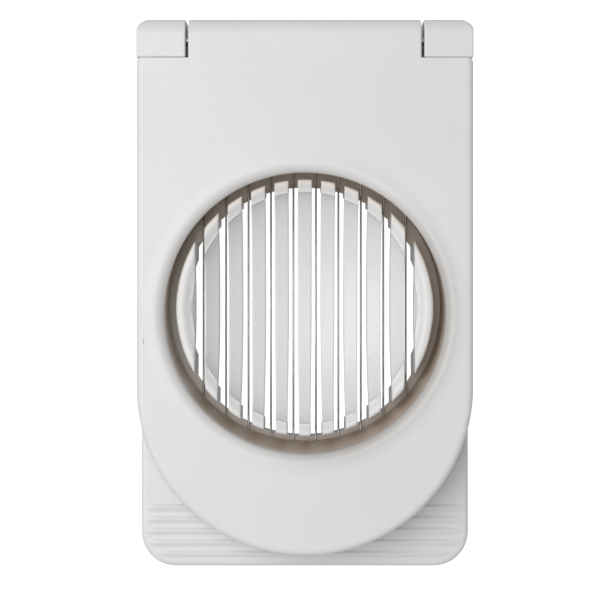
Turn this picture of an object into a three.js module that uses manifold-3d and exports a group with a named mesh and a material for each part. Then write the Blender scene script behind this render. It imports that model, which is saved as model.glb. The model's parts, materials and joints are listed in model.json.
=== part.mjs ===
// A hand-held egg slicer: a ribbed base with a slotted cup, and a hinged lid that carries ten wires.
// Millimetres. +Z is up, +Y points to the hinge, and the origin is the bottom centre.

import * as THREE from 'three';
import { mergeVertices } from 'three/addons/utils/BufferGeometryUtils.js';
import Module from 'manifold-3d';

const wasm = await Module();
wasm.setup();

// Overall size
const WIDTH = 83;
const LENGTH = 137;
const LID_TOP = 30;
const BEAD_H = 0.2; // the opening's rolled edge stands proud of the lid
const HEIGHT = LID_TOP + BEAD_H;
const HALF_W = WIDTH / 2;
const BACK_Y = LENGTH / 2;
const FRONT_Y = -LENGTH / 2;

// Fits
const GAP = 0.3; // between pieces that sit against each other
const OVERCUT = 1; // how far a cutter runs past the face it opens

// Base shell
const BASE_BOTTOM = 1.2;
const BASE_TOP = 16;
const WALL = 2;
const BASE_CORNER_R = 8.8;
const BASE_EDGE_R = 1.2;
const WEB_T = 1.6; // stiffening webs under the top plate
const WEB_X = 20;
const WEB_BOTTOM = 5;

// Grip ribs across the front apron
const RIB_COUNT = 5;
const RIB_PITCH = 2.95;
const RIB_FIRST_Y = -53.9;
const RIB_W = 1.9;
const RIB_H = 0.8;
const RIB_INSET = 1.6; // from the apron's edge

// Hinge
const HINGE_R = 4.9;
const HINGE_Y = BACK_Y - HINGE_R;
const HINGE_Z = LID_TOP - HINGE_R;
const EAR_INNER_X = 29.4;
const BARREL_HALF = 28.7;
const EAR_CORNER_R = 3.9; // seen from above
const EAR_FRONT_Y = HINGE_Y - HINGE_R;
const EAR_FRONT_EDGE_R = 1;
const HINGE_BACK_EDGE_R = 4; // top back edge of the ears and the barrel
const PIN_R = 1.5;
const PIN_BORE_R = 1.85;
const PIN_IN_BARREL = 8;
const PIN_IN_EAR = 9.5;

// The collar leans: its foot sits nearer the hinge than its mouth, so that it swings clear of the cup
const OPENING_Y = -3.9; // the lid's round opening, and the ends of the slots
const RING_Y = -2.4; // the collar's foot, the rings under it, the wires and the well
const OPENING_R = 34.7;
const LIP_R = 2.4; // rolled edge of the opening
const BEAD_R = 39.4; // where the bead has sunk to the lid's face
const COLLAR_R = 36.5;
const WELL_R = 37.4;
const LEDGE_R = 33.2;
const LEDGE_T = 1.6;

// Lid
const LID_BOTTOM = 17.6;
const LID_T = 2.5;
const LID_EDGE_R = 1.5;
const LID_ARC_Y = -22.5;
const LID_BACK_Y = EAR_FRONT_Y - GAP;
const SWING_R = Math.hypot(LID_BACK_Y - HINGE_Y, HINGE_R); // the lid's back edge turns clear of the ears
const SKIRT_BACK_Y = HINGE_Y - SWING_R;
const COLLAR_BOTTOM = 14.8;
const COLLAR_TOP = HEIGHT - LIP_R;
const COLLAR_LEAN = (OPENING_Y - RING_Y) / (COLLAR_TOP - COLLAR_BOTTOM);

// Wires
const WIRE_COUNT = 10;
const WIRE_PITCH = 5.74;
const WIRE_R = 0.25;
const WIRE_Z = 12.55;
const WIRE_REACH_R = 35.6;
const GROOVE_W = 2 * (WIRE_R + GAP);
const CARRIER_BOTTOM = 12;
const CLAMP_TOP = CARRIER_BOTTOM - GAP;
const CLAMP_BOTTOM = 11.1;

// Cup
const CUP_Y = -2.9;
const CUP_R = 31.9;
const CUP_TOP = 26.2;
const CUP_WALL = 2;
const SHELL_T = 3; // at the lowest point of the hollow
const CUP_RIM_EDGE_R = 0.8;
const BEVEL_OUTER_R = 30.4; // the sloping rim starts here
const BEVEL_INNER_R = 28; // and the hollow starts here
const BEVEL_DROP = 1.2;
const HOLLOW_DEPTH = 11.4;
const HOLLOW_Y_SCALE = 1.03;
const SLOT_W = 2.5;
const SLOT_END_R = 31.9;
const FLOOR_TOP = 10.4;
const FLOOR_T = 2;

// Feet
const FOOT_R = 4;
const FOOT_SOCKET_DEPTH = 1.5;
const FOOT_BOSS_WALL = 1.5;
const FOOT_X = 31.5;
const FOOT_Y_FRONT = -58;
const FOOT_Y_BACK = 58;
const SOCKET_TOP = BASE_BOTTOM + FOOT_SOCKET_DEPTH;

// Facets
const ROUND_SEGMENTS = 60; // large circles
const SMALL_SEGMENTS = 16; // pins, bosses and feet
const WIRE_SEGMENTS = 8;
const RIB_SEGMENTS = 12;
const EDGE_STEPS = 2; // rounded edges
const LID_ARC_SEGMENTS = 30; // the lid's half circle
const CORNER_SEGMENTS = 7; // each corner of the base
const HOLLOW_STEPS = 8; // down each side of the cup's shell
const LIP_STEPS = 4; // round the opening's lip

const glossWhite = new THREE.MeshStandardMaterial({ color: 0xefeeec, roughness: 0.32, metalness: 0 });
const cupWhite = new THREE.MeshStandardMaterial({ color: 0xececea, roughness: 0.36, metalness: 0 });
const carrierWhite = new THREE.MeshStandardMaterial({ color: 0xe2dfda, roughness: 0.45, metalness: 0 });
const steel = new THREE.MeshStandardMaterial({ color: 0xa9a9a8, roughness: 0.25, metalness: 1 });
const softPad = new THREE.MeshStandardMaterial({ color: 0xd5d5d2, roughness: 0.8, metalness: 0 });

// ---- joining and cutting ----

function toSolid(geometry) {
  const bare = geometry.clone();
  bare.deleteAttribute('normal');
  bare.deleteAttribute('uv');
  const merged = mergeVertices(bare, 1e-4);
  const mesh = new wasm.Mesh({
    numProp: 3,
    vertProperties: new Float32Array(merged.attributes.position.array),
    triVerts: new Uint32Array(fullTriangles(merged.index.array)),
  });
  return new wasm.Manifold(mesh);
}

// Leaves out the triangles that shrink to a line where a lathed outline meets its axis.
function fullTriangles(index) {
  const kept = [];
  for (let i = 0; i < index.length; i += 3) {
    const [a, b, c] = index.slice(i, i + 3);
    if (a !== b && b !== c && c !== a) {
      kept.push(a, b, c);
    }
  }
  return kept;
}

function joinAll(solids) {
  return solids.reduce((whole, piece) => whole.add(piece));
}

function toMesh(name, solid, material) {
  const result = solid.getMesh();
  const geometry = new THREE.BufferGeometry();
  geometry.setAttribute('position', new THREE.BufferAttribute(new Float32Array(result.vertProperties), 3));
  geometry.setIndex(new THREE.BufferAttribute(new Uint32Array(result.triVerts), 1));
  geometry.computeVertexNormals();
  return namedMesh(name, geometry, material);
}

function namedMesh(name, geometry, material) {
  const mesh = new THREE.Mesh(geometry, material);
  mesh.name = name;
  return mesh;
}

// ---- simple shapes ----

function box(x0, x1, y0, y1, z0, z1) {
  const geometry = new THREE.BoxGeometry(x1 - x0, y1 - y0, z1 - z0);
  geometry.translate((x0 + x1) / 2, (y0 + y1) / 2, (z0 + z1) / 2);
  return toSolid(geometry);
}

function uprightCylinder(x, y, radius, z0, z1, segments) {
  const geometry = new THREE.CylinderGeometry(radius, radius, z1 - z0, segments);
  geometry.rotateX(Math.PI / 2);
  geometry.translate(x, y, (z0 + z1) / 2);
  return toSolid(geometry);
}

function hingeCylinder(radius, x0, x1, segments) {
  const geometry = new THREE.CylinderGeometry(radius, radius, x1 - x0, segments);
  geometry.rotateZ(Math.PI / 2);
  geometry.translate((x0 + x1) / 2, HINGE_Y, HINGE_Z);
  return geometry;
}

// A body turned about the upright line x = 0, y = centreY, from an outline of [radius, height] points.
function turned(centreY, points) {
  return toSolid(turnedGeometry(points).translate(0, centreY, 0));
}

function turnedGeometry(points) {
  const profile = points.map(([radius, z]) => new THREE.Vector2(radius, z));
  return new THREE.LatheGeometry(profile, ROUND_SEGMENTS).rotateX(Math.PI / 2);
}

function ringOutline(innerR, outerR, z0, z1) {
  return [[innerR, z0], [outerR, z0], [outerR, z1], [innerR, z1], [innerR, z0]];
}

// A turned body that leans with the collar: centred on RING_Y at its foot and on OPENING_Y at its mouth.
function leaning(points) {
  const geometry = turnedGeometry(points);
  geometry.applyMatrix4(new THREE.Matrix4().makeShear(0, 0, 0, 0, 0, COLLAR_LEAN));
  geometry.translate(0, RING_Y - COLLAR_LEAN * COLLAR_BOTTOM, 0);
  return toSolid(geometry);
}

// A side view of [y, z] points, drawn from x = -HALF_W to x = HALF_W.
function acrossX(outline) {
  const geometry = new THREE.ExtrudeGeometry(outline, {
    depth: WIDTH,
    bevelEnabled: false,
    curveSegments: SMALL_SEGMENTS,
  });
  geometry.translate(0, 0, -HALF_W);
  geometry.rotateX(Math.PI / 2);
  geometry.rotateZ(Math.PI / 2);
  return toSolid(geometry);
}

// Extrudes an upright wall from an outline, with its top edge rounded.
function plate(outline, segments, z0, z1, edgeR) {
  const height = z1 - z0;
  const geometry = new THREE.ExtrudeGeometry(outline, {
    depth: height + OVERCUT - edgeR,
    bevelEnabled: edgeR > 0,
    bevelThickness: edgeR,
    bevelSize: edgeR,
    bevelOffset: -edgeR,
    bevelSegments: EDGE_STEPS,
    curveSegments: segments,
  });
  geometry.translate(0, 0, z0 - OVERCUT);
  const below = box(-WIDTH, WIDTH, -LENGTH, LENGTH, z0 - OVERCUT - 2 * edgeR - OVERCUT, z0);
  return toSolid(geometry).subtract(below);
}

// ---- outlines ----

function roundedRectangle(halfW, y0, y1, frontR, backR) {
  const outline = new THREE.Shape();
  outline.moveTo(-halfW + frontR, y0);
  outline.lineTo(halfW - frontR, y0);
  outline.absarc(halfW - frontR, y0 + frontR, frontR, -Math.PI / 2, 0);
  outline.lineTo(halfW, y1 - backR);
  outline.absarc(halfW - backR, y1 - backR, backR, 0, Math.PI / 2);
  outline.lineTo(-halfW + backR, y1);
  outline.absarc(-halfW + backR, y1 - backR, backR, Math.PI / 2, Math.PI);
  outline.lineTo(-halfW, y0 + frontR);
  outline.absarc(-halfW + frontR, y0 + frontR, frontR, Math.PI, 1.5 * Math.PI);
  return outline;
}

function baseOutline(inset) {
  return roundedRectangle(
    HALF_W - inset,
    FRONT_Y + inset,
    BACK_Y - inset,
    BASE_CORNER_R - inset,
    EAR_CORNER_R - Math.min(inset, EAR_CORNER_R - 1),
  );
}

function basePlate(inset, z0, z1, edgeR) {
  return plate(baseOutline(inset), CORNER_SEGMENTS, z0, z1, edgeR);
}

// Straight sides and back, and a half circle at the front.
function lidOutline(radius, backY) {
  const outline = new THREE.Shape();
  outline.moveTo(radius, LID_ARC_Y);
  outline.lineTo(radius, backY);
  outline.lineTo(-radius, backY);
  outline.lineTo(-radius, LID_ARC_Y);
  outline.absarc(0, LID_ARC_Y, radius, Math.PI, 2 * Math.PI);
  return outline;
}

// Side view of a hinge ear: an upright with a flat top, rounded well over at the back.
function earOutline() {
  const edgeR = EAR_FRONT_EDGE_R;
  const outline = new THREE.Shape();
  outline.moveTo(BACK_Y, BASE_TOP - WALL);
  roundTopBack(outline);
  outline.absarc(EAR_FRONT_Y + edgeR, LID_TOP - edgeR, edgeR, Math.PI / 2, Math.PI);
  outline.lineTo(EAR_FRONT_Y, BASE_TOP - WALL);
  return outline;
}

// Side view of the hinge barrel: round below the axis, with the ear's back and a neck into the lid.
function barrelOutline() {
  const neckZ = LID_TOP - LID_T;
  const neckAngle = Math.PI - Math.asin((neckZ - HINGE_Z) / HINGE_R);
  const outline = new THREE.Shape();
  outline.moveTo(SKIRT_BACK_Y - WALL / 2, LID_TOP);
  outline.lineTo(SKIRT_BACK_Y - WALL / 2, neckZ);
  outline.absarc(HINGE_Y, HINGE_Z, HINGE_R, neckAngle, 2 * Math.PI);
  roundTopBack(outline);
  return outline;
}

function roundTopBack(outline) {
  const edgeR = HINGE_BACK_EDGE_R;
  outline.lineTo(BACK_Y, LID_TOP - edgeR);
  outline.absarc(BACK_Y - edgeR, LID_TOP - edgeR, edgeR, 0, Math.PI / 2);
}

// ---- base ----

function ears() {
  const between = box(-EAR_INNER_X, EAR_INNER_X, 0, LENGTH, 0, 2 * HEIGHT);
  const corners = basePlate(0, 0, 2 * HEIGHT, 0);
  const boreEnd = EAR_INNER_X + PIN_IN_EAR;
  const bores = toSolid(hingeCylinder(PIN_BORE_R, -boreEnd, boreEnd, SMALL_SEGMENTS));
  return acrossX(earOutline()).intersect(corners).subtract(between).subtract(bores);
}

function gripRibs() {
  const field = basePlate(RIB_INSET, BASE_TOP - WALL, BASE_TOP + RIB_H, 0);
  const bars = Array.from({ length: RIB_COUNT }, (_, i) => {
    const geometry = new THREE.CylinderGeometry(RIB_W / 2, RIB_W / 2, WIDTH, RIB_SEGMENTS);
    geometry.scale(RIB_H / (RIB_W / 2), 1, 1);
    geometry.rotateZ(Math.PI / 2);
    geometry.translate(0, RIB_FIRST_Y - i * RIB_PITCH, BASE_TOP);
    return toSolid(geometry);
  });
  return joinAll(bars).intersect(field);
}

function webs() {
  const walls = [-WEB_X, WEB_X].map((x) => (
    box(x - WEB_T / 2, x + WEB_T / 2, FRONT_Y + WALL / 2, BACK_Y - WALL / 2, WEB_BOTTOM, BASE_TOP - WALL / 2)
  ));
  return joinAll(walls);
}

function footSpots() {
  return [-FOOT_X, FOOT_X].flatMap((x) => [FOOT_Y_FRONT, FOOT_Y_BACK].map((y) => ({
    x,
    y,
    name: `foot_${y < 0 ? 'front' : 'back'}_${x < 0 ? 'left' : 'right'}`,
  })));
}

function footBosses() {
  const bossR = FOOT_R + GAP + FOOT_BOSS_WALL;
  return joinAll(footSpots().map(({ x, y }) => (
    uprightCylinder(x, y, bossR, BASE_BOTTOM, BASE_TOP - WALL / 2, SMALL_SEGMENTS)
  )));
}

function footSockets() {
  return joinAll(footSpots().map(({ x, y }) => (
    uprightCylinder(x, y, FOOT_R + GAP, BASE_BOTTOM - OVERCUT, SOCKET_TOP, SMALL_SEGMENTS)
  )));
}

function wellWall() {
  const ledgeTop = FLOOR_TOP - FLOOR_T - GAP;
  const ledgeBottom = ledgeTop - LEDGE_T;
  return turned(RING_Y, [
    [LEDGE_R, ledgeBottom],
    [WELL_R + WALL, ledgeBottom],
    [WELL_R + WALL, BASE_TOP - WALL / 2],
    [WELL_R, BASE_TOP - WALL / 2],
    [WELL_R, ledgeTop],
    [LEDGE_R, ledgeTop],
    [LEDGE_R, ledgeBottom],
  ]);
}

function baseBody() {
  const outside = basePlate(0, BASE_BOTTOM, BASE_TOP, BASE_EDGE_R);
  const inside = basePlate(WALL, BASE_BOTTOM - OVERCUT, BASE_TOP - WALL, 0);
  const well = uprightCylinder(0, RING_Y, WELL_R, 0, HEIGHT, ROUND_SEGMENTS);
  const shell = joinAll([outside.subtract(inside), webs(), footBosses()]);
  const whole = joinAll([shell.subtract(well), wellWall(), gripRibs(), ears()]);
  return toMesh('base_body', whole.subtract(footSockets()), glossWhite);
}

function feet() {
  return footSpots().map(({ x, y, name }) => (
    toMesh(name, uprightCylinder(x, y, FOOT_R, 0, SOCKET_TOP - GAP, SMALL_SEGMENTS), softPad)
  ));
}

// ---- cup ----

// Half of an upright ellipse, from its widest ring (or from startR, if that is less) down to its nadir.
function ellipseDown(radius, topZ, depth, startR) {
  const start = Math.acos(startR / radius);
  return Array.from({ length: HOLLOW_STEPS + 1 }, (_, i) => {
    const angle = start + (i / HOLLOW_STEPS) * (Math.PI / 2 - start);
    return [i < HOLLOW_STEPS ? radius * Math.cos(angle) : 0, topZ - depth * Math.sin(angle)];
  });
}

// The space above the cup's sloping rim and egg-shaped hollow.
function hollowCutter() {
  const points = [
    [0, CUP_TOP + OVERCUT],
    [BEVEL_OUTER_R, CUP_TOP + OVERCUT],
    [BEVEL_OUTER_R, CUP_TOP],
    ...ellipseDown(BEVEL_INNER_R, CUP_TOP - BEVEL_DROP, HOLLOW_DEPTH, BEVEL_INNER_R),
  ];
  return toSolid(cupShaped(points.reverse()));
}

// The space under the shell, inside the cup's wall.
function underCutter() {
  const innerR = CUP_R - CUP_WALL;
  const outside = ellipseDown(BEVEL_INNER_R + CUP_WALL, CUP_TOP - BEVEL_DROP, HOLLOW_DEPTH + SHELL_T, innerR);
  return turned(CUP_Y, [[0, 0], [innerR, 0], ...outside]);
}

function cupShaped(points) {
  return turnedGeometry(points).scale(1, HOLLOW_Y_SCALE, 1).translate(0, CUP_Y, 0);
}

function wireX(i) {
  return (i - (WIRE_COUNT - 1) / 2) * WIRE_PITCH;
}

function slots(z0, z1, reach) {
  return joinAll(Array.from({ length: WIRE_COUNT }, (_, i) => {
    const x = wireX(i);
    return box(x - SLOT_W / 2, x + SLOT_W / 2, OPENING_Y - reach, OPENING_Y + reach, z0, z1);
  }));
}

function eggCradle() {
  const floorBottom = FLOOR_TOP - FLOOR_T;
  const wall = turned(CUP_Y, [
    [0, floorBottom],
    [CUP_R, floorBottom],
    [CUP_R, CUP_TOP - CUP_RIM_EDGE_R],
    [CUP_R - CUP_RIM_EDGE_R, CUP_TOP],
    [0, CUP_TOP],
  ]);
  const floor = uprightCylinder(0, RING_Y, WELL_R - GAP, floorBottom, FLOOR_TOP, ROUND_SEGMENTS);
  const core = uprightCylinder(0, OPENING_Y, SLOT_END_R, 0, HEIGHT, ROUND_SEGMENTS);
  const throughSlots = slots(0, HEIGHT, SLOT_END_R + OVERCUT).intersect(core);
  const upperSlots = slots(FLOOR_TOP, HEIGHT, WELL_R);
  const shell = wall.add(floor).subtract(hollowCutter()).subtract(underCutter());
  return toMesh('egg_cradle', shell.subtract(throughSlots).subtract(upperSlots), cupWhite);
}

// ---- lid ----

// The round opening: a leaning bore up through the collar, flared at the top into the rolled edge.
function openingCutter() {
  const flare = [[0, COLLAR_TOP - OVERCUT], [OPENING_R, COLLAR_TOP - OVERCUT]];
  for (let i = 0; i <= LIP_STEPS; i += 1) {
    const angle = (i / LIP_STEPS) * (Math.PI / 2);
    flare.push([OPENING_R + LIP_R * (1 - Math.cos(angle)), COLLAR_TOP + LIP_R * Math.sin(angle)]);
  }
  flare.push([OPENING_R + LIP_R, HEIGHT + OVERCUT], [0, HEIGHT + OVERCUT]);
  const bore = [[0, 0], [OPENING_R, 0], [OPENING_R, COLLAR_TOP], [0, COLLAR_TOP]];
  return turned(OPENING_Y, flare).add(leaning(bore));
}

function bead() {
  const crestR = OPENING_R + LIP_R;
  const middleR = (crestR + BEAD_R) / 2;
  const foot = LID_TOP - LID_T / 2;
  return turned(OPENING_Y, [
    [OPENING_R, foot],
    [BEAD_R, foot],
    [BEAD_R, LID_TOP],
    [middleR, LID_TOP + 0.7 * BEAD_H],
    [crestR, HEIGHT],
    [OPENING_R, HEIGHT],
    [OPENING_R, foot],
  ]);
}

function barrel() {
  const between = box(-BARREL_HALF, BARREL_HALF, 0, LENGTH, 0, 2 * HEIGHT);
  return acrossX(barrelOutline()).intersect(between);
}

// Room for the ears: the lid's back edge is hollowed about the hinge axis, and its skirt stands in front.
function earClearance() {
  const swing = toSolid(hingeCylinder(SWING_R, -WIDTH, WIDTH, ROUND_SEGMENTS));
  return swing.add(box(-WIDTH, WIDTH, SKIRT_BACK_Y, LENGTH, 0, HINGE_Z));
}

function pinBores() {
  const inner = BARREL_HALF - PIN_IN_BARREL - GAP;
  const outer = BARREL_HALF + OVERCUT;
  const right = toSolid(hingeCylinder(PIN_BORE_R, inner, outer, SMALL_SEGMENTS));
  const left = toSolid(hingeCylinder(PIN_BORE_R, -outer, -inner, SMALL_SEGMENTS));
  return right.add(left);
}

function lidFrame() {
  const outline = lidOutline(HALF_W, LID_BACK_Y + LID_EDGE_R); // the ears' clearance sets the final edge
  const outside = plate(outline, LID_ARC_SEGMENTS, LID_BOTTOM, LID_TOP, LID_EDGE_R);
  const hollow = lidOutline(HALF_W - WALL, SKIRT_BACK_Y - WALL);
  const inside = plate(hollow, LID_ARC_SEGMENTS, LID_BOTTOM - OVERCUT, LID_TOP - LID_T, 0);
  const collar = leaning(ringOutline(OPENING_R - WALL, COLLAR_R, COLLAR_BOTTOM, LID_TOP - LID_T / 2));
  const shell = outside.subtract(inside).subtract(earClearance());
  const whole = joinAll([shell, barrel(), collar, bead()]);
  return toMesh('lid_frame', whole.subtract(openingCutter()).subtract(pinBores()), glossWhite);
}

function wireGrooves() {
  return joinAll(Array.from({ length: WIRE_COUNT }, (_, i) => {
    const x = wireX(i);
    const reach = wireReach(x) + GAP;
    return box(
      x - GROOVE_W / 2,
      x + GROOVE_W / 2,
      RING_Y - reach,
      RING_Y + reach,
      CARRIER_BOTTOM - OVERCUT,
      CARRIER_BOTTOM + GROOVE_W,
    );
  }));
}

function wireReach(x) {
  return Math.sqrt(WIRE_REACH_R ** 2 - x ** 2);
}

function wireCarrier() {
  const ring = turned(RING_Y, ringOutline(OPENING_R, COLLAR_R, CARRIER_BOTTOM, COLLAR_BOTTOM - GAP));
  return toMesh('wire_carrier', ring.subtract(wireGrooves()), carrierWhite);
}

function wireClampRing() {
  const ring = turned(RING_Y, ringOutline(OPENING_R, COLLAR_R, CLAMP_BOTTOM, CLAMP_TOP));
  return toMesh('wire_clamp_ring', ring, carrierWhite);
}

function wires() {
  return Array.from({ length: WIRE_COUNT }, (_, i) => {
    const x = wireX(i);
    const geometry = new THREE.CylinderGeometry(WIRE_R, WIRE_R, 2 * wireReach(x), WIRE_SEGMENTS);
    const wire = namedMesh(`wire_${String(i + 1).padStart(2, '0')}`, geometry, steel);
    wire.position.set(x, RING_Y, WIRE_Z);
    return wire;
  });
}

function hingePins() {
  const inner = BARREL_HALF - PIN_IN_BARREL;
  const outer = EAR_INNER_X + PIN_IN_EAR - GAP;
  return [
    namedMesh('hinge_pin_left', hingeCylinder(PIN_R, -outer, -inner, SMALL_SEGMENTS), steel),
    namedMesh('hinge_pin_right', hingeCylinder(PIN_R, inner, outer, SMALL_SEGMENTS), steel),
  ];
}

function slicer() {
  const base = new THREE.Group();
  base.add(baseBody(), eggCradle(), ...feet(), ...hingePins());
  const lid = new THREE.Group();
  lid.add(lidFrame(), wireCarrier(), wireClampRing(), ...wires());
  const whole = new THREE.Group();
  whole.add(base, lid);
  return whole;
}

export default slicer();
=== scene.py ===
"""Looks of the egg slicer: its white shells, slotted cup, wires and pads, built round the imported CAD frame.

Shapes are worked out in millimetres in the CAD row frame (+Z up, +Y to the hinge) and turned into metres
when each piece is finished. Places come from the frame's boxes and from its hinge.
"""

import json
import math

import bmesh
import bpy
from mathutils import Matrix, Vector


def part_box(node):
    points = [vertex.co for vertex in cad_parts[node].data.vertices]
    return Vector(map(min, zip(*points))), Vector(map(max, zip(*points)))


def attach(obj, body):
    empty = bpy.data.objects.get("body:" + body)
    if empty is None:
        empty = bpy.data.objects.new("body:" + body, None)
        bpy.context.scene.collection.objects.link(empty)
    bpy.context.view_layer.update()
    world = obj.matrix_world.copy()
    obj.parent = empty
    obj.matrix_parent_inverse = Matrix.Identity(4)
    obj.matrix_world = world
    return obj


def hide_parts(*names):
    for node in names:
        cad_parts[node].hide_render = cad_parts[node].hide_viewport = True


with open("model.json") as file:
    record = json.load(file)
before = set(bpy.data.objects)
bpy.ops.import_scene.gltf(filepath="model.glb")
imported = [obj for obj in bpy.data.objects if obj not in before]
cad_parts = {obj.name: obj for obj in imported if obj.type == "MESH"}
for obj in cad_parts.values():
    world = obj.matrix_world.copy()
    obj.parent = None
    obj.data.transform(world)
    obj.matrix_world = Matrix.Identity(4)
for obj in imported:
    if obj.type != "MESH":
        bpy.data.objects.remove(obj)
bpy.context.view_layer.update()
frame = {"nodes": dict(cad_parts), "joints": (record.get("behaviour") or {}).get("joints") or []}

MM = 0.001


def node_box(name):
    """Lowest and highest corner of a CAD node, in millimetres."""
    low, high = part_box(name)
    return low / MM, high / MM


# ---- places, from the frame ----

LID_LOW, LID_HIGH = node_box("lid_frame")
BASE_LOW, BASE_HIGH = node_box("base_body")
CUP_LOW, CUP_HIGH = node_box("egg_cradle")
CARRIER_LOW, CARRIER_HIGH = node_box("wire_carrier")
WIRES = sorted(name for name in frame["nodes"] if name.startswith("wire_") and name[-1].isdigit())
FEET = sorted(name for name in frame["nodes"] if name.startswith("foot_"))
PINS = sorted(name for name in frame["nodes"] if name.startswith("hinge_pin_"))
HINGE = Vector(frame["joints"][0]["pos_m"]) / MM

HALF_W = LID_HIGH.x
BEAD_H = 0.2  # the opening's rolled edge stands proud of the lid
TOP = LID_HIGH.z - BEAD_H
BACK_Y = BASE_HIGH.y
FRONT_Y = BASE_LOW.y
HINGE_R = TOP - HINGE.z
RING_Y = (CARRIER_LOW.y + CARRIER_HIGH.y) / 2
OPENING_AHEAD = 1.8  # how far the lid's opening, the slots' ends and the cup sit in front of the wire ring
SLOT_END_AHEAD = 1.5
CUP_AHEAD = 0.5
OPENING_Y = RING_Y - OPENING_AHEAD
SLOT_END_Y = RING_Y - SLOT_END_AHEAD
CUP_Y = RING_Y - CUP_AHEAD
COLLAR_R = CARRIER_HIGH.x
FLANGE_R = CUP_HIGH.x
CUP_TOP = CUP_HIGH.z
FLOOR_BOTTOM = CUP_LOW.z
BASE_BOTTOM = 1.2
BASE_TOP = 16.0

# ---- sizes that the boxes don't give ----

GAP = 0.3
WALL = 2.0
COLLAR_WALL = 1.8
OPENING_R = COLLAR_R - COLLAR_WALL
LIP_R = 2.4
BEAD_R = 40.2  # where the bead has sunk to the lid's face
WELL_R = FLANGE_R + GAP
LEDGE_R = 33.2
FLOOR_TOP = 10.4
LEDGE_T = 1.6
LEDGE_TOP = FLOOR_BOTTOM - GAP
LEDGE_BOTTOM = LEDGE_TOP - LEDGE_T

LID_T = 2.5
LID_BOTTOM = 17.6
LID_EDGE_R = 1.5
LID_ARC_Y = LID_LOW.y + HALF_W
SEAM = 0.06  # between the lid's back edge and the ears
LID_BACK_Y = HINGE.y - HINGE_R - SEAM
SWING_R = math.hypot(HINGE_R + SEAM, HINGE_R)
SKIRT_BACK_Y = HINGE.y - SWING_R
COLLAR_LOW = CARRIER_HIGH.z + GAP
COLLAR_TOP = LID_HIGH.z - LIP_R
BARREL_HALF = 28.7
BARREL_EDGE_R = 0.4
BORE_R = 1.85
BORE_DEPTH = 8.3

BASE_CORNER_R = 8.8
BACK_CORNER_R = 3.9
BASE_EDGE_R = 1.2
EAR_INNER_X = 29.4
EAR_FRONT_EDGE_R = 0.5
HINGE_BACK_EDGE_R = 4.0
EAR_BORE_DEPTH = 9.5
WEB_X = 20.0
WEB_T = 1.6
WEB_BOTTOM = 5.0
FOOT_R = 4.0
SOCKET_TOP = 2.7
BOSS_R = 5.8

RIB_COUNT = 5
RIB_PITCH = 2.95
RIB_FIRST_Y = -53.9
RIB_HEIGHT = 0.5
RIB_RISE = (0.05, 0.35)  # shares of the pitch
RIB_FALL = (0.36, 0.85)
RIB_FADE = (1.3, 3.4)  # from the base's edge inwards
RIB_FIELD_INSET = RIB_FADE[0]

CUP_R = 31.9
CUP_WALL_INNER_R = 29.9
SHELL_T = 2.2
SLOT_SPREAD = 1.01
SLOT_W = 2.3
SLOT_W_FRONT = 2.9
SLOT_TAPER_Y = -5.0  # the slots widen from here to the front
SLOT_END_R = 31.9
BEVEL_OUTER_R = 30.4
BEVEL_INNER_R = 28.0
BEVEL_DROP = 1.2
HOLLOW_DEPTH = 11.4
HOLLOW_Y_SCALE = 1.03
HOLLOW_FLATNESS = 2.2  # a higher power has a flatter bottom
HOLLOW_STEEPNESS = 0.62  # a lower power has steeper sides
RIM_EDGE_R = 0.8
FIN_EDGE_R = 0.35
FIN_COLUMN_W = 0.45
FIN_SPARE = 0.5  # the slats are made this much too long, and trimmed to the cup

SOFT_EDGE = 0.4
SMOOTH_BELOW = math.radians(32)
MERGE_WITHIN = 1e-5

LID_SIDE_STEPS = 46
LID_ARC_STEPS = 104
BASE_SIDE_STEPS = 68
BASE_BACK_STEPS = 42
BASE_FRONT_STEPS = 36
BACK_CORNER_STEPS = 10
FRONT_CORNER_STEPS = 14
BOWL_STEPS = 144
BORE_STEPS = 32

ROUND = "round"  # a loop about the bowl's axis
EDGE = "edge"  # a loop that follows the outer outline
INNER = "inner"  # a loop that follows the lid's cavity


# ---- meshes ----

def new_object(name, points, faces):
    mesh = bpy.data.meshes.new(name)
    mesh.from_pydata(points, [], faces)
    shell = bmesh.new()
    shell.from_mesh(mesh)
    bmesh.ops.remove_doubles(shell, verts=shell.verts, dist=MERGE_WITHIN)
    bmesh.ops.recalc_face_normals(shell, faces=shell.faces)
    shell.to_mesh(mesh)
    shell.free()
    piece = bpy.data.objects.new(name, mesh)
    bpy.context.scene.collection.objects.link(piece)
    return piece


def skin(name, loops, closed=False):
    """A body over equal loops of points: closed on itself, or with a flat cap at each end."""
    size = len(loops[0])
    points = [point for loop in loops for point in loop]
    faces = []
    for i in range(len(loops) if closed else len(loops) - 1):
        a = i * size
        b = ((i + 1) % len(loops)) * size
        for k in range(size):
            n = (k + 1) % size
            faces.append((a + k, a + n, b + n, b + k))
    if not closed:
        faces.append(tuple(range(size)))
        faces.append(tuple(range(len(points) - size, len(points))))
    return new_object(name, points, faces)


def combine(target, operation, *tools):
    """Joins, cuts or trims target with other bodies, which are used up."""
    for tool in tools:
        modifier = target.modifiers.new(operation, "BOOLEAN")
        modifier.operation = operation
        modifier.solver = "MANIFOLD"
        modifier.object = tool
    apply_modifiers(target)
    for tool in tools:
        bpy.data.objects.remove(tool, do_unlink=True)
    return target


def apply_modifiers(piece):
    depsgraph = bpy.context.evaluated_depsgraph_get()
    mesh = bpy.data.meshes.new_from_object(piece.evaluated_get(depsgraph))
    piece.modifiers.clear()
    piece.data = mesh


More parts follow.
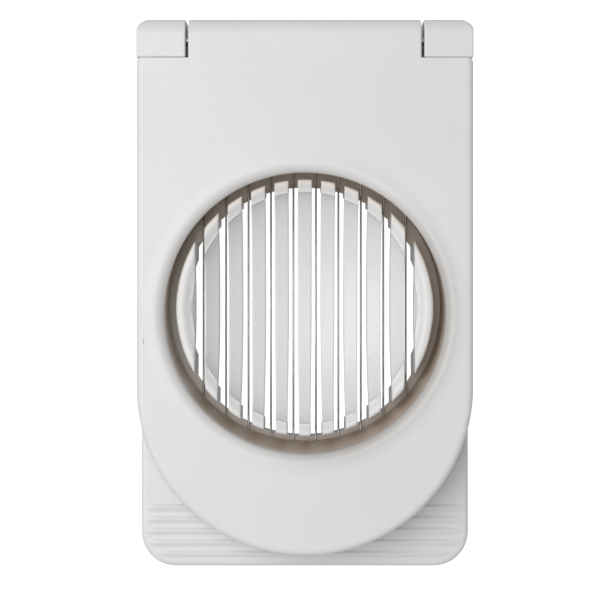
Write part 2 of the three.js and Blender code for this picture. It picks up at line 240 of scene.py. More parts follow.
def finish_piece(piece, body, material, slot, *nodes):
    """Turns a piece into metres, smooths it, and lets it stand for CAD nodes on their body."""
    piece.data.transform(Matrix.Scale(MM, 4))
    piece.data.shade_smooth()
    piece.data.set_sharp_from_angle(angle=SMOOTH_BELOW)
    weighted = piece.modifiers.new("weighted", "WEIGHTED_NORMAL")
    weighted.keep_sharp = True
    apply_modifiers(piece)
    piece.data.materials.clear()
    piece.data.materials.append(material)
    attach(piece, body)
    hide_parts(*nodes)
    return piece


# ---- outlines and profiles ----

def line(start, end, steps):
    """Points along a straight run, without its end."""
    return [tuple(a + (b - a) * i / steps for a, b in zip(start, end)) for i in range(steps)]


def arc(centre, radius, start, end, steps):
    """Points round an arc, in degrees, without its end."""
    angles = [math.radians(start + (end - start) * i / steps) for i in range(steps)]
    return [(centre[0] + radius * math.cos(a), centre[1] + radius * math.sin(a)) for a in angles]


def lid_outline(inset, back=None):
    """The D shape of the lid, square at the back and a half circle in front."""
    half = HALF_W - inset
    if back is None:
        back = LID_BACK_Y + LID_EDGE_R - inset
    points = line((half, LID_ARC_Y), (half, back), LID_SIDE_STEPS)
    points += line((half, back), (-half, back), LID_SIDE_STEPS)
    points += line((-half, back), (-half, LID_ARC_Y), LID_SIDE_STEPS)
    points += arc((0, LID_ARC_Y), half, 180, 360, LID_ARC_STEPS)
    return points


def base_outline(inset):
    """The base from above, its front corners rounder than its back ones."""
    min_r = 1.0
    half = HALF_W - inset
    front, back = FRONT_Y + inset, BACK_Y - inset
    front_r, back_r = BASE_CORNER_R - inset, max(BACK_CORNER_R - inset, min_r)
    points = line((half, front + front_r), (half, back - back_r), BASE_SIDE_STEPS)
    points += arc((half - back_r, back - back_r), back_r, 0, 90, BACK_CORNER_STEPS)
    points += line((half - back_r, back), (back_r - half, back), BASE_BACK_STEPS)
    points += arc((back_r - half, back - back_r), back_r, 90, 180, BACK_CORNER_STEPS)
    points += line((-half, back - back_r), (-half, front + front_r), BASE_SIDE_STEPS)
    points += arc((front_r - half, front + front_r), front_r, 180, 270, FRONT_CORNER_STEPS)
    points += line((front_r - half, front), (half - front_r, front), BASE_FRONT_STEPS)
    points += arc((half - front_r, front + front_r), front_r, 270, 360, FRONT_CORNER_STEPS)
    return points


def fillet(kind, reach, z, radius, start, end, steps=6):
    """A rounded edge of a profile: its arc's centre is at (reach, z), and its angles are in degrees."""
    angles = [math.radians(start + (end - start) * i / steps) for i in range(steps + 1)]
    return [(kind, reach + radius * math.cos(a), z + radius * math.sin(a)) for a in angles]


def lid_centre(z):
    """The lid's round opening leans towards the hinge as it goes down."""
    share = min((COLLAR_TOP - z) / (COLLAR_TOP - COLLAR_LOW), 1)
    return OPENING_Y + (RING_Y - OPENING_Y) * max(share, 0)


def ring_centre(_):
    """The base's well is upright, and shares its axis with the wire ring."""
    return RING_Y


def sweep(name, outline, profile, centre):
    """A closed body whose profile runs round between a circle and the outer outline."""
    headings = [math.atan2(y - OPENING_Y, x) for x, y in outline(0)]
    loops = []
    for kind, reach, z in profile:
        if kind == ROUND:
            loops.append([(reach * math.cos(a), centre(z) + reach * math.sin(a), z) for a in headings])
        elif kind == EDGE:
            loops.append([(x, y, z) for x, y in outline(-reach)])
        else:
            loops.append([(x, y, z) for x, y in outline(-reach, SKIRT_BACK_Y + reach)])
    return skin(name, loops, closed=True)


def turned(name, profile, centre, axis="z", steps=96):
    """A body of revolution from an open profile of (radius, height) points whose ends lie on the axis."""
    loops = []
    axis_r = 1e-3
    for radius, height in profile:
        r = max(radius, axis_r)
        angles = [2 * math.pi * i / steps for i in range(steps)]
        if axis == "z":
            loop = [(centre[0] + r * math.cos(a), centre[1] + r * math.sin(a), height) for a in angles]
        elif axis == "y":
            loop = [(centre[0] + r * math.cos(a), height, centre[2] + r * math.sin(a)) for a in angles]
        else:
            loop = [(height, centre[1] + r * math.cos(a), centre[2] + r * math.sin(a)) for a in angles]
        loops.append(loop)
    return skin(name, loops)


def block(name, low, high):
    """A plain box, for webs and for cutting."""
    x0, y0, z0 = low
    x1, y1, z1 = high
    bottom = [(x0, y0, z0), (x1, y0, z0), (x1, y1, z0), (x0, y1, z0)]
    top = [(x, y, z1) for x, y, _ in bottom]
    return skin(name, [bottom, top])


# ---- lid ----

def bead_profile(steps=12):
    """The rolled edge's outer flank, easing down from its crest to the lid's face."""
    crest = OPENING_R + LIP_R
    points = []
    for i in range(1, steps + 1):
        share = i / steps
        height = LID_HIGH.z - BEAD_H * smoothstep(0, 1, share)
        points.append((ROUND, crest + (BEAD_R - crest) * share, height))
    return points


def lid_profile():
    """From the collar's foot up over the lip, out over the plate, down the skirt and back underneath."""
    foot_step = 0.3
    tip_r = 0.25
    skirt_r = 0.4
    inner_r = 0.6
    under = TOP - LID_T
    wall_steps = 6
    wall_low = COLLAR_LOW + 4 * tip_r
    wall_high = COLLAR_TOP - SOFT_EDGE
    wall = [wall_low + (wall_high - wall_low) * i / wall_steps for i in range(wall_steps + 1)]
    return [
        *fillet(ROUND, OPENING_R + tip_r, COLLAR_LOW + tip_r, tip_r, 270, 180, 3),
        *[(ROUND, OPENING_R, z) for z in wall],
        *fillet(ROUND, OPENING_R + LIP_R, COLLAR_TOP, LIP_R, 180, 90, 12),
        *bead_profile(),
        (EDGE, -LID_EDGE_R - SOFT_EDGE, TOP),
        *fillet(EDGE, -LID_EDGE_R, TOP - LID_EDGE_R, LID_EDGE_R, 90, 0, 8),
        (EDGE, 0, TOP - LID_EDGE_R - SOFT_EDGE),
        (EDGE, 0, LID_BOTTOM + 2 * skirt_r),
        *fillet(EDGE, -skirt_r, LID_BOTTOM + skirt_r, skirt_r, 0, -90, 4),
        *fillet(INNER, skirt_r - WALL, LID_BOTTOM + skirt_r, skirt_r, 270, 180, 4),
        (INNER, -WALL, under - 2 * inner_r),
        *fillet(INNER, -WALL - inner_r, under - inner_r, inner_r, 0, 90, 4),
        *fillet(ROUND, COLLAR_R + inner_r, under - inner_r, inner_r, 90, 180, 4),
        (ROUND, COLLAR_R, wall_low),
        *fillet(ROUND, COLLAR_R - tip_r, COLLAR_LOW + tip_r, tip_r, 0, -90, 3),
        (ROUND, COLLAR_R - tip_r - foot_step, COLLAR_LOW),
    ]


def barrel_section(inset):
    """Side view of the hinge barrel with the neck that carries it, as (y, z) points."""
    radius = HINGE_R - inset
    back_r = HINGE_BACK_EDGE_R
    neck_y = SKIRT_BACK_Y - WALL / 2
    neck_low = TOP - LID_T + GAP
    start = 180 - math.degrees(math.asin((neck_low - HINGE.z) / radius))
    points = [(neck_y, neck_low)]
    points += arc((HINGE.y, HINGE.z), radius, start, 360, 60)
    points += arc((BACK_Y - back_r, TOP - back_r), back_r - inset, 0, 90, 20)
    points += line((BACK_Y - back_r, TOP - inset), (neck_y, TOP - inset), 8)
    points.append((neck_y, TOP - inset))
    return points


def along_x(name, section, ends, edge_r, steps=5):
    """A section drawn along X between two ends, with each end's rim rounded."""
    loops = []
    for side, x in ((-1, ends[0]), (1, ends[1])):
        rim = []
        for i in range(steps + 1):
            angle = math.radians(90 * i / steps)
            inset = edge_r * (1 - math.cos(angle))
            rim.append([(x - side * edge_r * (1 - math.sin(angle)), y, z) for y, z in section(inset)])
        loops += rim if side > 0 else rim[::-1]
    return skin(name, loops)


def bore(name, x0, x1):
    """A cutter for a hinge pin's hole."""
    return turned(name, [(0, x0), (BORE_R, x0), (BORE_R, x1), (0, x1)], HINGE, axis="x", steps=BORE_STEPS)


def ear_clearance():
    """Room for the ears: a cylinder about the hinge, and all that lies under its front."""
    overcut = 1
    reach = HALF_W + overcut
    profile = [(0, -reach), (SWING_R, -reach), (SWING_R, reach), (0, reach)]
    swing = turned("swing", profile, HINGE, axis="x", steps=128)
    under = block("under", (-reach, SKIRT_BACK_Y, 0), (reach, BACK_Y, HINGE.z))
    return swing, under


def make_lid():
    lid = sweep("lid_shell", lid_outline, lid_profile(), lid_centre)
    combine(lid, "DIFFERENCE", *ear_clearance())
    barrel = along_x("barrel", barrel_section, (-BARREL_HALF, BARREL_HALF), BARREL_EDGE_R)
    combine(lid, "UNION", barrel)
    inner = BARREL_HALF - BORE_DEPTH
    outer = BARREL_HALF + 1
    combine(lid, "DIFFERENCE", bore("bore", inner, outer), bore("bore", -outer, -inner))
    return finish_piece(lid, "lid", shell_white, "shell_plastic", "lid_frame")


# ---- base ----

def base_profile():
    """From the ledge up the well's wall, out over the deck, down the side and back underneath."""
    small = 0.3
    well_edge = 0.6
    foot_edge = 0.4
    under = BASE_TOP - WALL
    well_out = WELL_R + WALL
    return [
        (ROUND, LEDGE_R, LEDGE_BOTTOM),
        *fillet(ROUND, LEDGE_R + small, LEDGE_TOP - small, small, 180, 90, 3),
        (ROUND, WELL_R, LEDGE_TOP),
        (ROUND, WELL_R, BASE_TOP - well_edge - SOFT_EDGE),
        *fillet(ROUND, WELL_R + well_edge, BASE_TOP - well_edge, well_edge, 180, 90, 5),
        (ROUND, WELL_R + well_edge + SOFT_EDGE, BASE_TOP),
        (EDGE, -BASE_EDGE_R - SOFT_EDGE, BASE_TOP),
        *fillet(EDGE, -BASE_EDGE_R, BASE_TOP - BASE_EDGE_R, BASE_EDGE_R, 90, 0, 7),
        (EDGE, 0, BASE_TOP - BASE_EDGE_R - SOFT_EDGE),
        (EDGE, 0, BASE_BOTTOM + 2 * foot_edge),
        *fillet(EDGE, -foot_edge, BASE_BOTTOM + foot_edge, foot_edge, 0, -90, 4),
        *fillet(EDGE, foot_edge - WALL, BASE_BOTTOM + foot_edge, foot_edge, 270, 180, 4),
        (EDGE, -WALL, under),
        (ROUND, well_out, under),
        (ROUND, well_out, LEDGE_BOTTOM),
    ]


def ear_outline():
    """Side view of a hinge ear, as (y, z) points with the way that each one faces."""
    sunk = 1.4  # into the deck
    low = BASE_TOP - sunk
    back_r, front_r = HINGE_BACK_EDGE_R, EAR_FRONT_EDGE_R
    front_y = HINGE.y - HINGE_R
    outline = [(BACK_Y, low, 1, 0)]
    for centre_y, r, first, steps in ((BACK_Y - back_r, back_r, 0, 24), (front_y + front_r, front_r, 90, 10)):
        for i in range(steps + 1):
            a = math.radians(first + 90 * i / steps)
            ny, nz = math.cos(a), math.sin(a)
            outline.append((centre_y + r * ny, TOP - r + r * nz, ny, nz))
    outline.append((front_y, low, -1, 0))
    return outline


def ear(side):
    """A hinge ear: an upright whose outer back corner is well rounded."""
    inner_r, front_r, top_r, back_r = 0.4, 0.3, 0.45, 3.0
    steps = 8
    outline = ear_outline()

    def rim(angle, inner):
        loop = []
        for y, z, ny, nz in outline:
            outer_r = back_r * max(ny, 0) ** 2 + front_r * max(-ny, 0) ** 2 + top_r * nz**2
            r = inner_r if inner else outer_r
            inset = r * (1 - math.cos(angle))
            reach = r * (1 - math.sin(angle))
            x = EAR_INNER_X + reach if inner else HALF_W - reach
            loop.append((side * x, y - ny * inset, z - nz * inset))
        return loop

    quarter = [math.radians(90 * i / steps) for i in range(steps + 1)]
    loops = [rim(a, True) for a in reversed(quarter)] + [rim(a, False) for a in quarter]
    return skin("ear", loops)


def edge_distance(x, y):
    """How far a point of the deck is inside the base's outline, at the front and the sides."""
    dx = abs(x) - (HALF_W - BASE_CORNER_R)
    dy = (FRONT_Y + BASE_CORNER_R) - y
    outside = math.hypot(max(dx, 0), max(dy, 0))
    return BASE_CORNER_R - outside - min(max(dx, dy), 0)


def smoothstep(low, high, value):
    """An eased rise from 0 at low to 1 at high."""
    t = min(max((value - low) / (high - low), 0), 1)
    return t * t * (3 - 2 * t)


def rib_height(x, y):
    """Five soft ridges across the apron: steep towards the hinge, easier towards the front."""
    place = (RIB_FIRST_Y + RIB_PITCH / 2 - y) / RIB_PITCH
    if not 0 <= place < RIB_COUNT:
        return 0
    phase = place % 1
    rise = smoothstep(*RIB_RISE, phase)
    fall = 1 - smoothstep(*RIB_FALL, phase)
    fade = smoothstep(*RIB_FADE, edge_distance(x, y))
    return RIB_HEIGHT * rise * fall * fade


def grip_ribs():
    """The ribbed field as a thin body let into the deck."""
    inset = RIB_FIELD_INSET
    spare = 0.2
    back = RIB_FIRST_Y + RIB_PITCH / 2 + spare
    front = FRONT_Y + inset
    rows, columns = 150, 64
    below = 1.0
    sink = 0.03
    loops = []
    for j in range(rows + 1):
        y = back + (front - back) * j / rows
        drop = max(FRONT_Y + BASE_CORNER_R - y, 0)
        corner_r = BASE_CORNER_R - inset
        reach = HALF_W - BASE_CORNER_R + math.sqrt(max(corner_r**2 - drop**2, 0))
        xs = [reach * (2 * i / columns - 1) for i in range(columns + 1)]
        top = [(x, y, BASE_TOP - sink + rib_height(x, y)) for x in xs]
        bottom = [(x, y, BASE_TOP - below) for x in reversed(xs)]
        loops.append(top + bottom)
    return skin("ribs", loops)


def web(side, front, back):
    """A stiffening web under the deck, beside the well."""
    x = side * WEB_X
    return block("web", (x - WEB_T / 2, front, WEB_BOTTOM), (x + WEB_T / 2, back, BASE_TOP - WALL / 2))


def foot_centres():
    return [(low + high) / 2 for low, high in map(node_box, FEET)]


def boss(centre):
    """The hollow post under the deck that holds a pad."""
    socket_r = FOOT_R + GAP
    profile = [(0, SOCKET_TOP), (socket_r, SOCKET_TOP), (socket_r, BASE_BOTTOM), (BOSS_R, BASE_BOTTOM)]
    profile += [(BOSS_R, BASE_TOP - WALL / 2), (0, BASE_TOP - WALL / 2)]
    return turned("boss", profile, centre, steps=40)


def make_base():
    base = sweep("base_shell", base_outline, base_profile(), ring_centre)
    reach = math.sqrt((WELL_R + WALL / 2) ** 2 - WEB_X**2)
    webs = [web(side, FRONT_Y + WALL / 2, RING_Y - reach) for side in (-1, 1)]
    webs += [web(side, RING_Y + reach, BACK_Y - WALL / 2) for side in (-1, 1)]
    bosses = [boss(centre) for centre in foot_centres()]
    combine(base, "UNION", *webs, *bosses, ear(-1), ear(1), grip_ribs())
    overcut = 1
    inner, outer = EAR_INNER_X - overcut, EAR_INNER_X + EAR_BORE_DEPTH
    combine(base, "DIFFERENCE", bore("bore", inner, outer), bore("bore", -outer, -inner))
    return finish_piece(base, "base", shell_white, "shell_plastic", "base_body")


# ---- cup ----

def cup_height(x, y):
    """Top of the cup, from its own centre: a rounded rim, a gentle slope, and the egg's hollow."""
    true_r = math.hypot(x, y)
    if true_r > CUP_R - RIM_EDGE_R:
        over = min(true_r - (CUP_R - RIM_EDGE_R), RIM_EDGE_R)
        return CUP_TOP - RIM_EDGE_R + math.sqrt(RIM_EDGE_R**2 - over**2)
    r = math.hypot(x, y / HOLLOW_Y_SCALE)
    slope_low = CUP_TOP - BEVEL_DROP
    if r >= BEVEL_INNER_R:
        share = (r - BEVEL_INNER_R) / (BEVEL_OUTER_R - BEVEL_INNER_R)
        return slope_low + BEVEL_DROP * smoothstep(0, 1, share)
    return slope_low - HOLLOW_DEPTH * (1 - (r / BEVEL_INNER_R) ** HOLLOW_FLATNESS) ** HOLLOW_STEEPNESS


def fin_rows(x):
    """Places along a slat, crowded where the hollow, the slope and the rim begin and end."""
    def out_to(radius, spare):
        return math.sqrt(max(radius**2 - x**2, 0) + spare**2)

    hollow_steps, edge_steps = 44, 6
    hollow_spare, rim_spare, end_spare = 1.5, 2.9, 3.6  # these keep the rows apart beyond the cup's sides
    apart = 0.05
    hollow_end = HOLLOW_Y_SCALE * out_to(BEVEL_INNER_R, hollow_spare)
    rows = [hollow_end * math.sin(math.radians(90 * i / hollow_steps)) for i in range(hollow_steps + 1)]
    slope_w = BEVEL_OUTER_R - BEVEL_INNER_R
    slope = [BEVEL_INNER_R + slope_w * i / edge_steps for i in range(1, edge_steps + 1)]
    rows += [HOLLOW_Y_SCALE * out_to(r, hollow_spare + apart * i) for i, r in enumerate(slope, 1)]
    turns = [math.radians(90 * i / edge_steps) for i in range(edge_steps + 1)]
    rim = [CUP_R - RIM_EDGE_R * (1 - math.sin(a)) for a in turns]
    rows += [out_to(r, rim_spare + apart * i) for i, r in enumerate(rim)]
    rows.append(out_to(CUP_R + FIN_SPARE, end_spare))
    return [-y for y in reversed(rows[1:])] + rows


def slot_half(y):
    """Half a slot's width, from the cup's middle to its wider front."""
    widening = smoothstep(SLOT_TAPER_Y, CUP_Y - CUP_R, y)
    return (SLOT_W + (SLOT_W_FRONT - SLOT_W) * widening) / 2


def fin_columns(width, rounded_left, rounded_right):
    """Lines along a slat, from left to right.

    Each is (share of the width, inset in mm from that side, height lost in mm).
    """
    angles = [math.radians(a) for a in (90, 60, 30, 0)]
    edge = [(FIN_EDGE_R * (1 - math.sin(a)), FIN_EDGE_R * (1 - math.cos(a))) for a in angles]
    flats = max(4, round(width / FIN_COLUMN_W))
    columns = [(0, inset, lost) for inset, lost in edge] if rounded_left else [(0, 0, 0)]
    columns += [(i / flats, 0, 0) for i in range(1, flats)]
    columns += [(1, -inset, lost) for inset, lost in reversed(edge)] if rounded_right else [(1, 0, 0)]
    return columns


def fin(left_slot, right_slot):
    """One slat of the cup between two slots' middles (or the cup's own edge), its top edges rounded."""
    rounded_left, rounded_right = left_slot is not None, right_slot is not None
    x0 = left_slot if rounded_left else -CUP_R - FIN_SPARE
    x1 = right_slot if rounded_right else CUP_R + FIN_SPARE
    columns = fin_columns(x1 - x0, rounded_left, rounded_right)

    def place(share, inset, y):
        start = x0 + slot_half(y) * rounded_left
        end = x1 - slot_half(y) * rounded_right
        if share in (0, 1):
            return (start, end)[share] + inset
        start += FIN_EDGE_R * rounded_left
        end -= FIN_EDGE_R * rounded_right
        return start + (end - start) * share

    rows = [fin_rows(place(share, inset, 0)) for share, inset, _ in columns]
    loops = []
    for j in range(len(rows[0])):
        top, bottom = [], []
        for (share, inset, lost), column in zip(columns, rows):
            y = CUP_Y + column[j]
            x = place(share, inset, y)
            top.append((x, y, cup_height(x, column[j]) - lost))
            bottom.append((x, y, FLOOR_BOTTOM))
        loops.append(top + bottom[::-1])
    return skin("fin", loops)


def under_shell():
    """The space under the cup's shell, inside its wall."""
    radius = BEVEL_INNER_R + CUP_R - CUP_WALL_INNER_R
    depth = HOLLOW_DEPTH + SHELL_T
    start = math.degrees(math.acos(CUP_WALL_INNER_R / radius))
    steps = 32
    profile = [(0, 0), (CUP_WALL_INNER_R, 0)]
    for i in range(steps + 1):
        a = math.radians(start + (90 - start) * i / steps)
        profile.append((radius * math.cos(a), CUP_TOP - BEVEL_DROP - depth * math.sin(a)))
    return turned("under", profile, (0, CUP_Y, 0), steps=BOWL_STEPS)


def slot_floor_cutter(x):
    """One slot through the cup's floor, with the same taper as between the slats."""
    overcut = 1
    reach = SLOT_END_R + overcut
    steps = 24
    loops = []
    for i in range(steps + 1):
        y = SLOT_END_Y - reach + 2 * reach * i / steps
        half = slot_half(y)
        low, high = FLOOR_BOTTOM - overcut, FLOOR_TOP + overcut
        loops.append([(x - half, y, low), (x + half, y, low), (x + half, y, high), (x - half, y, high)])
    return skin("slot", loops)


def cup_floor(centres):
    """The flat floor round the foot of the cup, with the slots cut through it out to a circle."""
    edge = 0.25
    overcut = 2
    profile = [(0, FLOOR_BOTTOM), (FLANGE_R - edge, FLOOR_BOTTOM), (FLANGE_R, FLOOR_BOTTOM + edge)]
    profile += [(FLANGE_R, FLOOR_TOP - edge), (FLANGE_R - edge, FLOOR_TOP), (0, FLOOR_TOP)]
    floor = turned("floor_ring", profile, (0, RING_Y, 0), steps=BOWL_STEPS)
    slots = slot_floor_cutter(centres[0])
    combine(slots, "UNION", *[slot_floor_cutter(x) for x in centres[1:]])
    low, high = FLOOR_BOTTOM - overcut, FLOOR_TOP + overcut
    profile = [(0, low), (SLOT_END_R, low), (SLOT_END_R, high), (0, high)]
    combine(slots, "INTERSECT", turned("slot_ends", profile, (0, SLOT_END_Y, 0), steps=BOWL_STEPS))
    combine(floor, "DIFFERENCE", slots)
    return floor


def make_cup():
    centres = sorted(SLOT_SPREAD * (node_box(name)[0].x + node_box(name)[1].x) / 2 for name in WIRES)
    sides = [None, *centres, None]
    fins = [fin(left, right) for left, right in zip(sides, sides[1:])]
    cup = fins[0]
    combine(cup, "UNION", *fins[1:])
    below = -1
    profile = [(0, below), (CUP_R, below), (CUP_R, TOP), (0, TOP)]
    column = turned("column", profile, (0, CUP_Y, 0), steps=BOWL_STEPS)
    combine(cup, "INTERSECT", column)
    combine(cup, "UNION", cup_floor(centres))
    combine(cup, "DIFFERENCE", under_shell())
    cup.name = "slotted_cup"
    return finish_piece(cup, "base", cup_white, "cup_plastic", "egg_cradle")


# ---- small pieces ----

WIRE_TIP_SHARE = 0.4  # of a wire's radius


def make_wires():
    for name in WIRES:
        low, high = node_box(name)
        centre = (low + high) / 2
        radius = (high.x - low.x) / 2
        tip = radius * WIRE_TIP_SHARE
        steps = 24
        length = high.y - low.y - 2 * tip
        profile = [(0, low.y), (radius - tip, low.y), (radius, low.y + tip)]
        profile += [(radius, low.y + tip + length * i / steps) for i in range(1, steps)]
        profile += [(radius, high.y - tip), (radius - tip, high.y), (0, high.y)]
        wire = turned(f"cutting_{name}", profile, centre, axis="y", steps=16)
        finish_piece(wire, "lid", wire_steel, "wire_steel", name)


def make_feet():
    """Round pads with a shallow dish underneath."""
    for name in FEET:
        low, high = node_box(name)
        centre = (low + high) / 2
        radius = (high.x - low.x) / 2
        edge, bevel = 0.5, 0.2
        dish, dish_edge = (0.25, 0.2), (0.5, 0.62)
        profile = [(0, low.z + dish[0]), (radius * dish_edge[0], low.z + dish[1])]
        profile.append((radius * dish_edge[1], low.z))
        for i in range(7):
            a = math.radians(90 * i / 6)
            profile.append((radius - edge + edge * math.sin(a), low.z + edge - edge * math.cos(a)))
        profile += [(radius, high.z - bevel), (radius - bevel, high.z), (0, high.z)]
        pad = turned(f"pad_{name}", profile, centre, steps=56)
        finish_piece(pad, "base", pad_rubber, "foot_pad", name)


def dress_cad_nodes():
    """The two rings and the pins keep their CAD shape, and get finished materials."""
    dresses = {"wire_carrier": carrier_white, "wire_clamp_ring": carrier_white}
    dresses |= {name: pin_steel for name in PINS}
    for name, material in dresses.items():
        frame["nodes"][name].data.materials.clear()
        frame["nodes"][name].data.materials.append(material)


# ---- materials ----

NOISE_SPAN = (0.3, 0.7)  # most of a noise lies between these
DRIFT_SHARE = 0.965
# Painted shade: between these radii the gap round the cup is painted warmer and darker, standing in for the
# shade down there.
PAINTED_SHADE_RADII = (31.4, 37.2)  # about the opening's centre
# The painted gap shade goes from its lighter left colour to its darker right colour across these x values.
PAINTED_SHADE_LEFT_TO_RIGHT = (-36, -24)  # where the left deep colour gives way to the right one
# Painted shade on the right-hand flank of the opening's lip: how strong it is, where it lies and its grey.
LIP_PAINTED_SHADE = 0.9
LIP_PAINTED_SHADE_RADII = (35.4, 38.6)
LIP_PAINTED_SHADE_COLOUR = (0.50, 0.48, 0.46)
# Painted shade colours for the gap, lighter on the left and darker and browner on the right; the first pair
# is for the shells and rings, the second for the cup.
LID_PAINTED_SHADE = ((0.95, 0.86, 0.80), (0.58, 0.46, 0.36))
FLOOR_PAINTED_SHADE = ((0.97, 0.92, 0.86), (0.84, 0.74, 0.64))


class Nodes:
    """Builds a material's node tree with short calls."""

    def __init__(self, name):
        self.material = bpy.data.materials.new(name)
        self.material.use_nodes = True
        self.tree = self.material.node_tree
        self.shader = self.tree.nodes["Principled BSDF"]
        self.place = self.add("ShaderNodeTexCoord").outputs["Object"]

    def add(self, kind, **values):
        made = self.tree.nodes.new(kind)
        for key, value in values.items():
            setattr(made, key, value)
        return made

    def link(self, source, target):
        self.tree.links.new(source, target)

    def noise(self, per_mm, detail=3.0, rough=0.5, stretch=(1, 1, 1)):
        """A noise whose features are about 1 / per_mm millimetres across."""
        spread = self.add("ShaderNodeMapping")
        spread.inputs["Scale"].default_value = [s * per_mm / MM for s in stretch]
        self.link(self.place, spread.inputs["Vector"])
        texture = self.add("ShaderNodeTexNoise")
        texture.inputs["Scale"].default_value = 1.0
        texture.inputs["Detail"].default_value = detail
        texture.inputs["Roughness"].default_value = rough
        self.link(spread.outputs["Vector"], texture.inputs["Vector"])
        return texture.outputs["Fac"]

    def remap(self, source, low, high, out_low, out_high):
        fit = self.add("ShaderNodeMapRange")
        fit.inputs["From Min"].default_value = low
        fit.inputs["From Max"].default_value = high
        fit.inputs["To Min"].default_value = out_low
        fit.inputs["To Max"].default_value = out_high
        self.link(source, fit.inputs["Value"])
        return fit.outputs["Result"]

    def math(self, operation, source, value):
        """Works out a socket with a number or with another socket."""
        made = self.add("ShaderNodeMath", operation=operation)
        self.link(source, made.inputs[0])
        if isinstance(value, float):
            made.inputs[1].default_value = value
        else:
            self.link(value, made.inputs[1])
        return made.outputs["Value"]

    def mix(self, factor, a, b):
        blend = self.add("ShaderNodeMix", data_type="RGBA")
        self.link(factor, blend.inputs["Factor"])
        for socket, value in ((blend.inputs[6], a), (blend.inputs[7], b)):
            if isinstance(value, tuple):
                socket.default_value = (*value, 1)
            else:
                self.link(value, socket)
        return blend.outputs[2]

    def bump(self, height, distance_mm, strength, before=None):
        made = self.add("ShaderNodeBump")
        made.inputs["Distance"].default_value = distance_mm * MM
        made.inputs["Strength"].default_value = strength
        self.link(height, made.inputs["Height"])
        if before is not None:
            self.link(before, made.inputs["Normal"])
        return made.outputs["Normal"]


def moulded_plastic(name, colour, painted_shade_colours, roughness, deep=PAINTED_SHADE_RADII):
    """White moulded plastic with faint colour drift and a soft orange-peel skin.

    Down in the gap round the cup, between the two radii given as deep, it is painted warmer and darker, a
    painted shade standing in for the shade there, and the first of the two painted shade colours is the
    lighter one, on the left.
    Painted shade also makes the lip's flank greyer on the right.
    """
    n = Nodes(name)
    darker = tuple(c * DRIFT_SHARE for c in colour)
    drift = n.remap(n.noise(0.03, detail=2), *NOISE_SPAN, 0, 1)
    tone = n.mix(drift, colour, darker)
    inner, outer = deep
    split = n.add("ShaderNodeSeparateXYZ")
    n.link(n.place, split.inputs["Vector"])
    x, z = split.outputs["X"], split.outputs["Z"]
    y = n.math("SUBTRACT", split.outputs["Y"], OPENING_Y * MM)
    flat = n.add("ShaderNodeCombineXYZ")
    n.link(x, flat.inputs["X"])
    n.link(y, flat.inputs["Y"])
    length = n.add("ShaderNodeVectorMath", operation="LENGTH")
    n.link(flat.outputs["Vector"], length.inputs[0])
    radius = length.outputs["Value"]
    # Painted shade in the gap round the cup, masked by radius and height.
    past_inner = n.remap(radius, (inner - 0.5) * MM, inner * MM, 0, 1)
    before_outer = n.remap(radius, outer * MM, (outer + 0.3) * MM, 1, 0)
    below = n.remap(z, (TOP - 1) * MM, (TOP - 6) * MM, 0, 1)
    above = n.remap(z, (FLOOR_BOTTOM + 0.4) * MM, (FLOOR_TOP - 0.4) * MM, 0, 1)
    depth = n.math("MULTIPLY", n.math("MULTIPLY", past_inner, before_outer), n.math("MULTIPLY", below, above))
    # Painted shade on the lip's flank, strongest towards the right and the front.
    raised = n.remap(z, (TOP - 6) * MM, (TOP - 3) * MM, 0, 1)
    rolled = n.remap(radius, LIP_PAINTED_SHADE_RADII[0] * MM, LIP_PAINTED_SHADE_RADII[1] * MM, LIP_PAINTED_SHADE, 0)
    facing = n.remap(n.math("SUBTRACT", x, n.math("MULTIPLY", y, 0.5)), 2 * MM, 30 * MM, 0, 1)
    lip = n.math("MULTIPLY", n.math("MULTIPLY", rolled, facing), n.math("MULTIPLY", raised, past_inner))
    tone = n.mix(lip, tone, LIP_PAINTED_SHADE_COLOUR)
    # The painted gap shade goes into the base colour, lighter on the left than on the right.
    across = n.remap(x, PAINTED_SHADE_LEFT_TO_RIGHT[0] * MM, PAINTED_SHADE_LEFT_TO_RIGHT[1] * MM, 0, 1)
    n.link(n.mix(depth, tone, n.mix(across, *painted_shade_colours)), n.shader.inputs["Base Color"])
    mottle = n.remap(n.noise(0.6, detail=4), *NOISE_SPAN, roughness - 0.05, roughness + 0.06)
    n.link(mottle, n.shader.inputs["Roughness"])
    peel = n.bump(n.noise(0.8, detail=2), 0.02, 0.35)
    grain = n.bump(n.noise(9, detail=2), 0.004, 0.3, peel)
    n.link(grain, n.shader.inputs["Normal"])
    n.shader.inputs["IOR"].default_value = 1.5
    n.shader.inputs["Specular IOR Level"].default_value = 0.5
    return n.material


def drawn_steel(name, colour, roughness, per_mm, stretch):
    """Steel with fine streaks along the way it was drawn."""
    n = Nodes(name)
    streaks = n.noise(per_mm, detail=4, rough=0.6, stretch=stretch)
    shade = n.remap(streaks, *NOISE_SPAN, 0, 1)
    n.link(n.mix(shade, colour, tuple(c * 0.8 for c in colour)), n.shader.inputs["Base Color"])
    uneven = n.remap(streaks, *NOISE_SPAN, roughness - 0.08, roughness + 0.08)
    n.link(uneven, n.shader.inputs["Roughness"])
    n.link(n.bump(streaks, 0.003, 0.4), n.shader.inputs["Normal"])
    n.shader.inputs["Metallic"].default_value = 1.0
    return n.material


def soft_rubber(name, colour):
    """Matte rubber with a fine mottle."""
    n = Nodes(name)
    mottle = n.remap(n.noise(1.5, detail=4), *NOISE_SPAN, 0, 1)
    n.link(n.mix(mottle, colour, tuple(c * 0.88 for c in colour)), n.shader.inputs["Base Color"])
    n.link(n.remap(n.noise(3, detail=3), *NOISE_SPAN, 0.62, 0.85), n.shader.inputs["Roughness"])
    n.link(n.bump(n.noise(6, detail=3), 0.02, 0.5), n.shader.inputs["Normal"])
    return n.material


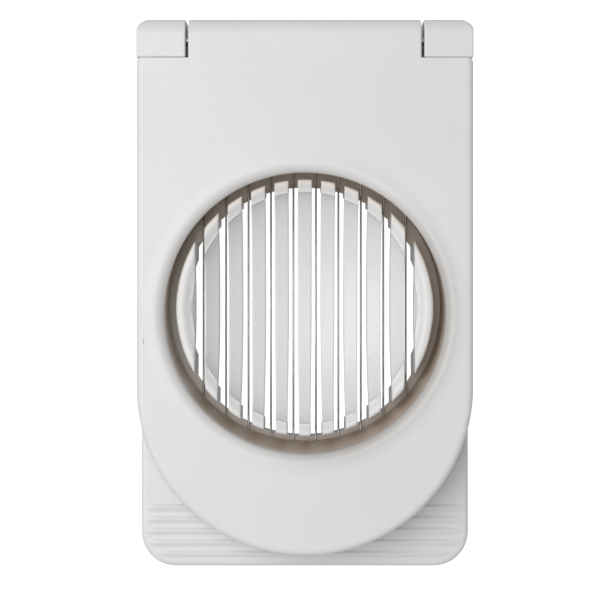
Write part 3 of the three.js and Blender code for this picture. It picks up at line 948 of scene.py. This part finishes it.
def make_floor():
    """A white floor that sends less light back to the object than it shows to the camera."""
    n = Nodes("pale_floor")
    n.shader.inputs["Base Color"].default_value = (0.4, 0.4, 0.4, 1)
    n.shader.inputs["Roughness"].default_value = 0.9
    n.shader.inputs["Emission Color"].default_value = (1, 1, 1, 1)
    path = n.add("ShaderNodeLightPath").outputs["Is Camera Ray"]
    glow_on_object, glow_seen = 0.2, 1.0
    n.link(n.remap(path, 0, 1, glow_on_object, glow_seen), n.shader.inputs["Emission Strength"])
    half = 1.5
    corners = [(-half, -half, 0), (half, -half, 0), (half, half, 0), (-half, half, 0)]
    mesh = bpy.data.meshes.new("floor")
    mesh.from_pydata(corners, [], [(0, 1, 2, 3)])
    mesh.materials.append(n.material)
    floor = bpy.data.objects.new("floor", mesh)
    bpy.context.scene.collection.objects.link(floor)


# ---- light and camera ----

def area_light(name, place, target, size, power):
    """A round soft light at a place, aimed at a target."""
    data = bpy.data.lights.new(name, "AREA")
    data.shape = "DISK"
    data.size = size
    data.energy = power
    lamp = bpy.data.objects.new(name, data)
    lamp.location = place
    lamp.rotation_euler = (Vector(target) - Vector(place)).to_track_quat("-Z", "Y").to_euler()
    bpy.context.scene.collection.objects.link(lamp)


def make_light():
    """An even white room, and one broad soft light high on the left."""
    world = bpy.data.worlds.new("studio")
    world.use_nodes = True
    world.node_tree.nodes["Background"].inputs["Color"].default_value = (1, 1, 1, 1)
    world.node_tree.nodes["Background"].inputs["Strength"].default_value = 0.43
    bpy.context.scene.world = world
    area_light("key", (-0.34, 0.08, 0.75), (-0.06, -0.01, 0.02), 0.8, 4.35)
    bpy.context.scene.view_settings.view_transform = "Standard"


def make_camera():
    """Straight above the closed slicer, as far off as the lid's and base's apparent widths say."""
    data = bpy.data.cameras.new("camera")
    data.sensor_width = 36
    data.lens = 105
    data.clip_start = 0.01
    camera = bpy.data.objects.new("camera", data)
    camera.location = (-1.2 * MM, -0.95 * MM, (TOP + 430) * MM)
    bpy.context.scene.collection.objects.link(camera)
    bpy.context.scene.camera = camera


# All three plastics carry the painted gap shade; the cup's starts further out, at 32.2 mm.
shell_white = moulded_plastic("shell_white", (0.77, 0.765, 0.755), LID_PAINTED_SHADE, 0.34)
cup_white = moulded_plastic("cup_white", (0.79, 0.785, 0.775), FLOOR_PAINTED_SHADE, 0.3, deep=(32.2, 60.0))
carrier_white = moulded_plastic("carrier_white", (0.80, 0.74, 0.68), LID_PAINTED_SHADE, 0.45)
wire_steel = drawn_steel("wire_steel", (0.5, 0.49, 0.47), 0.3, 4, (1, 0.08, 1))
pin_steel = drawn_steel("pin_steel", (0.6, 0.6, 0.6), 0.25, 3, (0.2, 1, 1))
pad_rubber = soft_rubber("pad_rubber", (0.62, 0.62, 0.61))

make_camera()
make_light()
make_floor()
make_lid()
make_base()
make_cup()
make_wires()
make_feet()
dress_cad_nodes()
